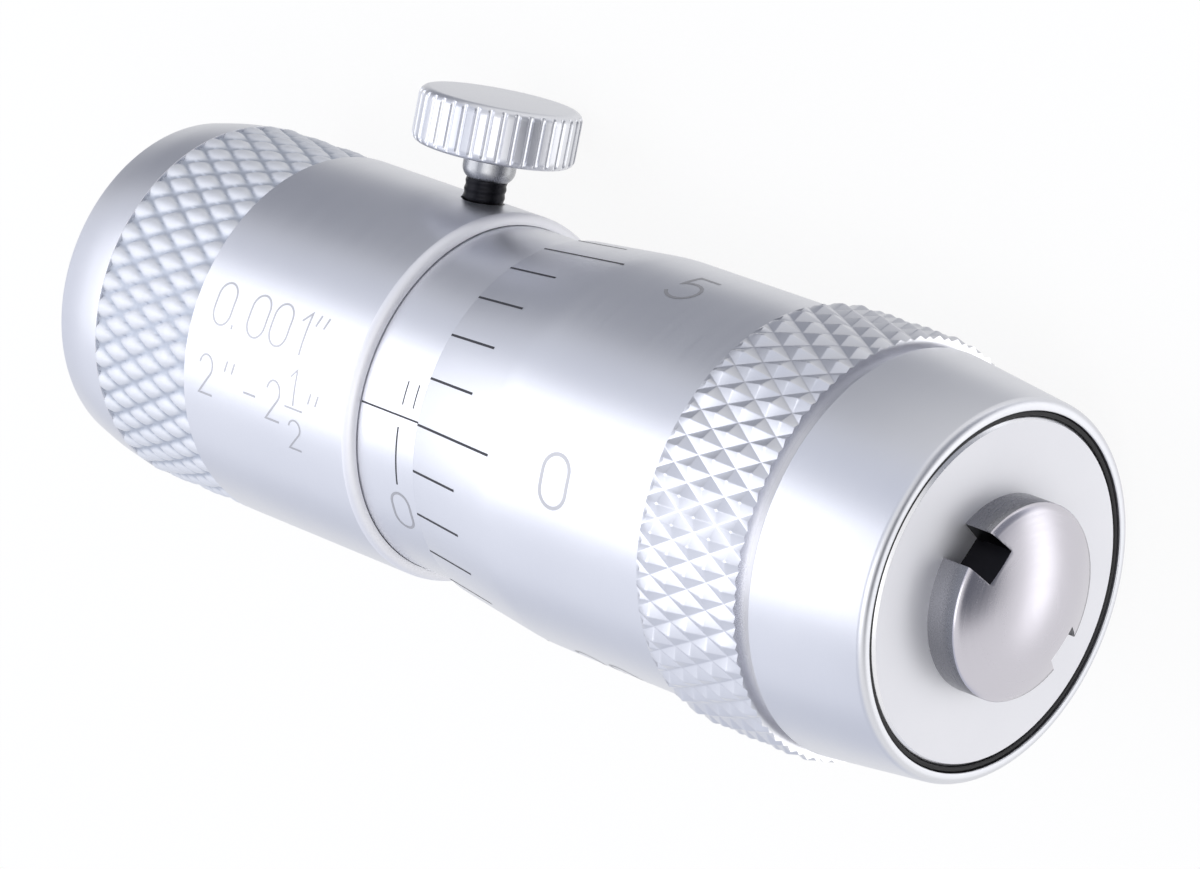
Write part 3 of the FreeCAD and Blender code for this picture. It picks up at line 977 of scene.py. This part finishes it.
@dataclass
class Thimble:
    """The turning shell, with its bevelled scale, raised knurl, groove and end band."""

    edge: float = 11.9546
    bore: float = 7.67
    edge_radius: float = 7.86
    bevel_length: float = 4.74
    bevel_round: float = 9.0
    radius: float = 8.4
    knurl_left: float = 25.5446
    knurl_right: float = 30.8946
    knurl_floor: float = 8.1
    crest: float = 8.88
    groove_right: float = 31.3446
    groove_radius: float = 8.13
    band_radius: float = 8.44
    rim_radius: float = 7.81
    rim_round: float = 0.33
    edge_round: float = 0.05
    pocket_radius: float = 7.33
    pocket_floor: float = 34.1046
    web_left: float = 31.9046
    web_hole: float = 3.82
    short_line: float = 2.75
    long_line: float = 4.65
    line_width: float = 0.11
    divisions: int = 25
    number_middle: float = 16.3
    number_height: float = 2.2
    number_width: float = 1.42
    number_pitch: float = 1.95
    number_stroke: float = 0.16

    def surface(self, x: float) -> float:
        """The radius of the bevel and the plain length, at a place along the axis."""
        share = min(1.0, (x - self.edge) / self.bevel_length)
        return self.edge_radius + share * (self.radius - self.edge_radius)

    def shell(self) -> None:
        """Build the shell, with a trough where the knurl goes."""
        outline = rounded([
            (self.edge, self.bore), (self.edge, self.edge_radius, 0.06),
            (self.edge + self.bevel_length, self.radius, self.bevel_round), (self.knurl_left, self.radius),
            (self.knurl_left, self.knurl_floor), (self.knurl_right, self.knurl_floor),
            (self.knurl_right, self.groove_radius), (self.groove_right, self.groove_radius),
            (self.groove_right, self.band_radius, self.edge_round), (RIM, self.rim_radius, self.rim_round),
            (RIM, self.pocket_radius, self.edge_round), (self.pocket_floor, self.pocket_radius),
            (self.pocket_floor, self.web_hole), (self.web_left, self.web_hole), (self.web_left, self.bore)],
            steps=8)
        Piece("thimble_shell", Body.THIMBLE_SET, Slot.SATIN_CHROME, SATIN_CHROME, ("thimble",)).turned(
            outline)

    def knurl(self) -> None:
        """Build the raised knurl, whose teeth come almost to a point."""
        teeth = Knurl(left=self.knurl_left, right=self.knurl_right, lead=0.25, half_pitch=1.0, teeth=47,
                      turn_deg=2.6, crest=self.crest, depth=0.24, foot=self.knurl_floor,
                      left_chamfer=0.25, right_chamfer=0.06)
        # The knurl's right wall takes the bright plate; its paler colour is partly a painted highlight.
        Piece("thimble_knurl", Body.THIMBLE_SET, Slot.SATIN_CHROME, SATIN_CHROME, ("thimble",), 30.0,
              (BRIGHT_CHROME,), lambda spot: int(spot.x > self.knurl_right - 0.01)).place(teeth.mesh())

    def scale(self) -> None:
        """Draw a line for each thousandth of an inch, and a longer one at every fifth."""
        lines = Engraving(self.surface, self.radius)
        for number in range(self.divisions):
            turned = number * 360.0 / self.divisions
            reach = self.short_line if number % 5 else self.long_line
            lines.ribbon([(self.edge + 0.02, turned), (self.edge + reach, turned)], self.line_width)
        Piece("thimble_lines", Body.THIMBLE_SET, Slot.LINE_FILL, LINE_ENAMEL).place(lines.mesh())

    def numbers(self) -> None:
        """Number every fifth line."""
        figures = Engraving(self.surface, self.radius)
        half = math.degrees(self.number_height / 2 / self.radius)
        for number in range(0, self.divisions, 5):
            text = str(number)
            turned = number * 360.0 / self.divisions
            span = self.number_width + self.number_pitch * (len(text) - 1)
            figures.write(text, RIM - self.number_middle - span / 2, turned - half, self.number_height,
                          self.number_width, self.number_stroke, self.number_pitch)
        Piece("thimble_numbers", Body.THIMBLE_SET, Slot.SATIN_CHROME, ETCHED_CHROME).place(figures.mesh())

    def build(self) -> None:
        """Build every piece of the thimble."""
        self.shell()
        self.knurl()
        self.scale()
        self.numbers()


@dataclass
class EndFace:
    """The pale disc in the thimble's end and the black ring round it."""

    face: float = 36.6546
    back: float = 34.1046
    radius: float = 7.08
    chamfer: float = 0.14
    chamfer_round: float = 0.03
    ring_inner: float = 7.1
    ring_outer: float = 7.29
    ring_face: float = 36.6
    ring_gap: float = 0.04
    ring_round: float = 0.05

    def build(self) -> None:
        """Build the disc and the ring."""
        disc = rounded([(self.back, CONTACT_HOLE), (self.back, self.radius),
                        (self.face - self.chamfer, self.radius, self.chamfer_round),
                        (self.face, self.radius - self.chamfer, self.chamfer_round),
                        (self.face, CONTACT_HOLE)])
        # The disc's chamfer and side take the bright plate; its paler colour is partly a painted highlight.
        Piece("face_disc", Body.THIMBLE_SET, Slot.PALE_DISC, PALE_CHROME, ("end_disc",),
              others=(BRIGHT_CHROME,), skin=lambda spot: int(spot.x < self.face - 0.005)).turned(disc)
        foot = self.back + self.ring_gap
        ring = rounded([(foot, self.ring_inner), (foot, self.ring_outer),
                        (self.ring_face, self.ring_outer, self.ring_round),
                        (self.ring_face, self.ring_inner, self.ring_round)])
        Piece("black_ring", Body.THIMBLE_SLIDE, Slot.BLACK_RUBBER, NITRILE_RUBBER, ("seal_ring",)).turned(
            ring)


@dataclass
class MeasuringContact:
    """A domed contact with two opposed spanner slots, at one end of the head."""

    name: str
    node: str
    body: Body
    seat: float
    out: int
    shank_length: float
    radius: float = 4.03
    rim_height: float = 1.33
    dome_radius: float = 9.0
    dome_steps: int = 16
    edge_break: float = 0.06
    slot_width: float = 1.6
    slot_floor: float = 2.88
    slot_deg: float = 33.5
    slot_break: float = 0.035
    cutter_length: float = 3.0
    cutter_height: float = 2.0
    shank_radius: float = 1.5
    shank_chamfer: float = 0.3
    near: float = 0.05

    def build(self) -> None:
        """Build the contact: turn it, cut its slots and break their edges."""
        top = self.rim_height + self.dome_radius - math.sqrt(self.dome_radius**2 - self.radius**2)
        centre = top - self.dome_radius
        widest = math.degrees(math.asin((self.radius - self.edge_break) / self.dome_radius))
        brim, end = self.rim_height - self.edge_break, -self.shank_length
        dome = arc((centre, 0.0), (self.dome_radius, self.dome_radius), 0.0, widest, self.dome_steps)
        outline = [
            (end, 0.0), *dome, (brim, self.radius), (0.0, self.radius), (0.0, self.shank_radius),
            (end + self.shank_chamfer, self.shank_radius), (end, self.shank_radius - self.shank_chamfer)]
        size = Vector((self.cutter_length, self.slot_width, self.cutter_height))
        out = Matrix.Translation((self.cutter_length / 2, 0.0, self.slot_floor + self.cutter_height / 2))
        cutters = []
        for side in (0, 180):
            angle = math.radians(self.out * (90 - self.slot_deg) + side)
            cutters.append(box_at(size, Matrix.Rotation(angle, 4, "X") @ out))
        whole = cut(bake(turn(outline, 192), "contact"), cutters)
        shape = bmesh.new()
        shape.from_mesh(whole)
        bpy.data.meshes.remove(whole)
        bmesh.ops.remove_doubles(shape, verts=shape.verts, dist=1e-4)
        bevel_edges(shape, self.slot_break, least_deg=40.0, profile=0.6, where=lambda spot:
                    spot.x > self.near and spot.yz.length > self.slot_floor - 2 * self.near)
        middle = Vector((centre, 0.0, 0.0))

        def skin(spot: Vector) -> int:
            """Which finish a place has: ground, a darker grey steel, or near black painted shade in the
            slots.

            Args:
                spot: the middle of a face.

            Returns:
                The finish's number among the piece's finishes.
            """
            side = spot.yz.length > self.radius - self.edge_break
            if (spot - middle).length > self.dome_radius - 0.02 or side and spot.x > brim:
                return 0
            # Slot faces take the near black finish: painted shade where the slots' recesses lie in shade.
            return 1 if side or spot.x < self.near else 2

        stand = Matrix.Translation((self.seat, 0.0, 0.0))
        if self.out < 0:
            stand = stand @ Matrix.Rotation(math.pi, 4, "Z")
        Piece(self.name, self.body, Slot.CONTACT_STEEL, GROUND_STEEL, (self.node,),
              others=(DARK_GREY_STEEL, BLACK_OXIDE_AND_SLOT_SHADE), skin=skin).place(bake(shape, "contact"), stand)


@dataclass
class LockScrew:
    """The fluted knob with its neck, and the dark threaded stud it turns."""

    stud_bottom: float = 4.65
    stud_radius: float = 0.9
    stud_in_knob: float = 1.4
    stud_gap: float = 0.03
    thread_pitch: float = 0.35
    thread_depth: float = 0.045
    steps_per_thread: int = 8
    hole_radius: float = 0.92
    neck_bottom: float = 8.85
    neck_foot: float = 0.54
    neck_radius: float = 1.14
    neck_round: float = 0.6
    knob_bottom: float = 10.05
    knob_top: float = 12.45
    knob_radius: float = 3.5
    knob_round: float = 0.42
    flutes: int = 38
    segments_per_flute: int = 16
    flute_radius: float = 0.14
    flute_depth: float = 0.13

    def flute_reach(self, x: float, angle: float) -> float:
        """How far out the knob's side may come, between the flutes.

        Args:
            x: the place along the screw's axis.
            angle: the place round it, in radians.

        Returns:
            The largest radius there.
        """
        if x < self.knob_bottom:
            return self.knob_radius
        centre = self.knob_radius + self.flute_radius - self.flute_depth
        pitch = math.tau / self.flutes
        off = (angle + pitch / 2) % pitch - pitch / 2
        side = centre * math.sin(off)
        if abs(side) >= self.flute_radius:
            return self.knob_radius
        return centre * math.cos(off) - math.sqrt(self.flute_radius**2 - side**2)

    def thread_reach(self, x: float, angle: float) -> float:
        """How far out the stud's side may come, along its fine thread."""
        share = ((x - self.stud_bottom) / self.thread_pitch - angle / math.tau) % 1.0
        return self.stud_radius - self.thread_depth * abs(2.0 * share - 1.0)

    def knob(self) -> None:
        """Build the knob and its neck."""
        hole_top = self.knob_bottom + self.stud_in_knob
        outline = rounded([
            (self.neck_bottom, self.neck_foot), (self.neck_bottom, self.neck_radius, self.neck_round),
            (self.knob_bottom, self.neck_radius, 0.08), (self.knob_bottom, self.knob_radius, self.knob_round),
            (self.knob_top, self.knob_radius, self.knob_round), (self.knob_top, 0.0), (hole_top, 0.0),
            (hole_top, self.hole_radius), (self.neck_bottom + 0.2, self.hole_radius)], steps=8)
        # The neck takes the darker turned steel as painted shade; it is chrome plated like the knob.
        Piece("knob_and_neck", Body.LOCK_SCREW, Slot.SATIN_CHROME, SATIN_CHROME, ("lock_knob",),
              others=(TURNED_STEEL_AND_NECK_SHADE,), skin=lambda spot: int(spot.x < self.knob_bottom - 0.05)
              ).turned(outline, self.flutes * self.segments_per_flute, self.flute_reach, upright(LOCK_X))

    def stud(self) -> None:
        """Build the threaded stud."""
        top = self.knob_bottom + self.stud_in_knob - self.stud_gap
        steps = int((top - self.stud_bottom) / self.thread_pitch * self.steps_per_thread)
        side = [(self.stud_bottom + (top - self.stud_bottom) * step / steps, self.stud_radius)
                for step in range(steps + 1)]
        Piece("threaded_stud", Body.LOCK_SCREW, Slot.BLACK_STEEL, BLACK_OXIDE_AND_SLOT_SHADE, ("lock_stud",), 50.0).turned(
            [(self.stud_bottom, 0.0), *side, (top, 0.0)], 64, self.thread_reach, upright(LOCK_X))

    def build(self) -> None:
        """Build every piece of the lock screw."""
        self.knob()
        self.stud()


@dataclass
class InnerWorks:
    """The pieces inside the head, which keep the shape the frame gives them."""

    finishes: ClassVar[dict[str, Finish]] = {
        "inner_barrel": TURNED_STEEL_AND_NECK_SHADE, "adjusting_nut": TURNED_STEEL_AND_NECK_SHADE, "spindle": GROUND_STEEL,
        "lock_pad": TURNED_BRASS}

    def build(self) -> None:
        """Give each inner piece its own metal."""
        for node, finish in self.finishes.items():
            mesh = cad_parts[node].data
            mesh.materials.clear()
            mesh.materials.append(finish.material())
            LOG.info("%s: %s", node, finish.name)


# The studio


@dataclass
class Studio:
    """The pale floor, the soft lamps and the camera.

    The camera's eye and aim are places seen from the upright head, in units from the rim's middle.
    """

    floor_level: float = -8.885
    floor_half: float = 4.0
    eye: tuple[float, float, float] = (15.01358392, -19.6495688, 5.06036702)
    aim: tuple[float, float, float] = (-2.73651251, 0.14358834, 0.0)
    roll: float = 0.19557573
    focal_share: float = 5460.37 / 1200.0
    sensor_width: float = 36.0
    lamp_distance: float = 0.6
    lamp_aim_x: float = 0.012
    tent_strength: float = 0.95
    tent_above: str = "#DDE1ED"
    tent_below: str = "#FFFFFF"
    tent_behind: str = "#979AA4"
    tent_ahead: str = "#6C6F78"
    strip_deg: float = 48.5
    strip_width_deg: float = 16.0
    strip_strength: float = 1.95

    def camera(self) -> None:
        """Set the camera where the photograph was taken from."""
        ahead = (Vector(self.aim) - Vector(self.eye)).normalized()
        level = ahead.cross(Vector((0.0, 0.0, 1.0))).normalized()
        rise = level.cross(ahead)
        right = math.cos(self.roll) * level + math.sin(self.roll) * rise
        up = -math.sin(self.roll) * level + math.cos(self.roll) * rise
        turned = LAY @ Matrix((right, up, -ahead)).transposed()
        x, y, z = (part * UNIT for part in self.eye)
        data = bpy.data.cameras.new("camera")
        data.sensor_width = self.sensor_width
        data.lens = self.focal_share * self.sensor_width
        data.clip_start, data.clip_end = 0.01, 20.0
        camera = add_object("camera", data)
        camera.matrix_world = Matrix.Translation(LAY @ Vector((x + RIM, y, z)) * MM) @ turned.to_4x4()
        bpy.context.scene.camera = camera

    def lamp(self, name: str, way: tuple[float, float, float], along: float, across: float, power: float
             ) -> None:
        """Hang a soft lamp that faces the head.

        Args:
            name: the lamp's name.
            way: the direction from the head to it.
            along: its side that runs along the measuring axis, in metres.
            across: its other side, in metres.
            power: its power, in watts.
        """
        data = bpy.data.lights.new(name, "AREA")
        data.shape = "RECTANGLE"
        data.size, data.size_y = along, across
        data.energy = power
        off = Vector(way).normalized()
        side = (Vector((1.0, 0.0, 0.0)) - off * off.x).normalized()
        facing = Matrix((side, off.cross(side), off)).transposed().to_4x4()
        place = Vector((self.lamp_aim_x, 0.0, 0.0)) + off * self.lamp_distance
        add_object(name, data).matrix_world = Matrix.Translation(place) @ facing

    def world(self) -> None:
        """Make a light tent: white to the eye, with walls whose tone the metal shows.

        The tent's tone depends on the direction alone: cool above, white below, grey walls past both
        ends of the head on its lower side, a darker one straight ahead of the moving contact and a
        bright strip that its dome shows.
        """
        world = bpy.data.worlds.new("studio")
        tree = fresh_tree(world)
        way = add_node(tree, "TexCoord").outputs["Generated"]
        x, y, z = add_node(tree, "SeparateXYZ", {0: way}).outputs
        aside = add_node(tree, "Math", {0: x}, operation="ABSOLUTE").outputs[0]
        turned = add_node(tree, "Mapping", {"Vector": way, "Rotation": (math.radians(ROLL_DEG), 0.0, 0.0)},
                          vector_type="VECTOR").outputs[0]
        across, ahead, height = add_node(tree, "SeparateXYZ", {0: turned}).outputs
        bearing = add_node(tree, "Math", {0: ahead, 1: across}, operation="ARCTAN2").outputs[0]
        near, middle, far = (math.radians(self.strip_deg + side * self.strip_width_deg)
                             for side in (-1, 0, 1))
        # Each share rises smoothly from 0 to 1 as a part of the direction goes from its start to its end.
        shares = {}
        for name, value, start, end in (
                ("warm", x, 0.1, 0.5), ("low", z, 0.12, -0.15), ("far wall", x, 0.88, 0.98),
                ("end", aside, 0.25, 0.62), ("back", y, 0.0, 0.25), ("under", z, 0.05, -0.2),
                ("left", bearing, near, middle), ("right", bearing, far, middle),
                ("front", x, 0.1, 0.3), ("height", height, -0.5, -0.1)):
            shares[name] = add_node(tree, "MapRange", {"Value": value, "From Min": start, "From Max": end},
                                    interpolation_type="SMOOTHSTEP").outputs["Result"]
        for name, parts in (("end walls", ("end", "back", "under")),
                            ("strip", ("left", "right", "front", "height"))):
            whole = shares[parts[0]]
            for part in parts[1:]:
                whole = add_node(tree, "Math", {0: whole, 1: shares[part]}, operation="MULTIPLY").outputs[0]
            shares[name] = whole
        tone = linear(self.tent_above)
        for name, colour in (("warm", self.tent_below), ("low", self.tent_below),
                             ("end walls", self.tent_behind), ("far wall", self.tent_ahead)):
            tone = add_node(tree, "Mix", {"Factor": shares[name], 6: tone, 7: linear(colour)},
                            data_type="RGBA").outputs[2]
        power = add_node(tree, "MapRange", {"Value": shares["strip"], "To Min": self.tent_strength,
                                            "To Max": self.strip_strength}).outputs["Result"]
        light, white = (add_node(tree, "Background", {"Color": colour, "Strength": strength}).outputs[0]
                        for colour, strength in ((tone, power), (linear("#FFFFFF"), 1.0)))
        seen = add_node(tree, "LightPath").outputs["Is Camera Ray"]
        mix = add_node(tree, "MixShader", {0: seen, 1: light, 2: white}).outputs["Shader"]
        add_node(tree, "OutputWorld", {"Surface": mix})
        bpy.context.scene.world = world

    def paper(self) -> bpy.types.Material:
        """White studio paper: white but for a faint shadow, and clear to reflections and from below.

        So the metal shows the tent, and the head's underside can be looked at.

        Returns:
            The paper's material.
        """
        paper = bpy.data.materials.new("white_studio_paper")
        tree = fresh_tree(paper)
        rays = add_node(tree, "LightPath").outputs
        place = add_node(tree, "TexCoord").outputs["Object"]
        fibre = add_node(tree, "TexNoise", {"Vector": place, "Scale": per_mm(0.4)}).outputs["Fac"]
        tooth = add_node(tree, "Bump", {"Height": fibre, "Strength": 0.2,
                                        "Distance": 0.02 * MM}).outputs["Normal"]
        lit = add_node(tree, "BsdfDiffuse", {"Normal": tooth, "Color": linear("#F2F2F4")}).outputs["BSDF"]
        glow = add_node(tree, "Emission", {"Color": linear("#FFFFFF"), "Strength": 1.0}).outputs["Emission"]
        clear = add_node(tree, "Math", {0: rays["Is Camera Ray"], 1: rays["Is Transmission Ray"]},
                         operation="MAXIMUM").outputs[0]
        share = add_node(tree, "Math", {0: clear, 1: 0.9}, operation="MULTIPLY").outputs[0]
        seen = add_node(tree, "MixShader", {0: share, 1: lit, 2: glow}).outputs["Shader"]
        below = add_node(tree, "NewGeometry").outputs["Backfacing"]
        through = add_node(tree, "Math", {0: rays["Is Glossy Ray"], 1: below}, operation="MAXIMUM").outputs[0]
        tent = add_node(tree, "BsdfTransparent").outputs["BSDF"]
        mix = add_node(tree, "MixShader", {0: through, 1: seen, 2: tent}).outputs["Shader"]
        add_node(tree, "OutputMaterial", {"Surface": mix})
        return paper

    def floor(self) -> None:
        """Lay the paper under the head."""
        shape = bmesh.new()
        bmesh.ops.create_grid(shape, x_segments=8, y_segments=8, size=self.floor_half,
                              matrix=Matrix.Translation((0.0, 0.0, self.floor_level * MM)))
        mesh = bake(shape, "studio_floor")
        mesh.materials.append(self.paper())
        floor = add_object("studio_floor", mesh)

    def build(self) -> None:
        """Set up the whole studio."""
        bpy.context.scene.view_settings.view_transform = "Standard"
        self.camera()
        self.world()
        self.floor()
        self.lamp("key_softbox", (-0.6, 0.36, 0.715), 0.5, 0.56, 1.12)
        self.lamp("top_softbox", (0.519, 0.244, 0.82), 0.4, 0.4, 0.6)
        self.lamp("side_fill", (-0.656, -0.364, 0.661), 0.5, 0.5, 0.2)


def main() -> None:
    """Build the head's pieces in order, then the studio."""
    logging.basicConfig(level=logging.INFO, format="%(message)s")
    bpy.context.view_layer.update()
    builders = [
        BodyTube(), EndPlug(), GraduatedSleeve(), Thimble(), EndFace(),
        MeasuringContact("fixed_dome", "fixed_contact", Body.BODY, -10.85, -1, 2.0),
        MeasuringContact("moving_dome", "moving_contact", Body.THIMBLE_SET, 36.6546, 1, 8.0),
        LockScrew(), InnerWorks(), Studio()]
    for builder in builders:
        LOG.info("building %s", type(builder).__name__)
        builder.build()


if __name__ == "__main__":
    main()
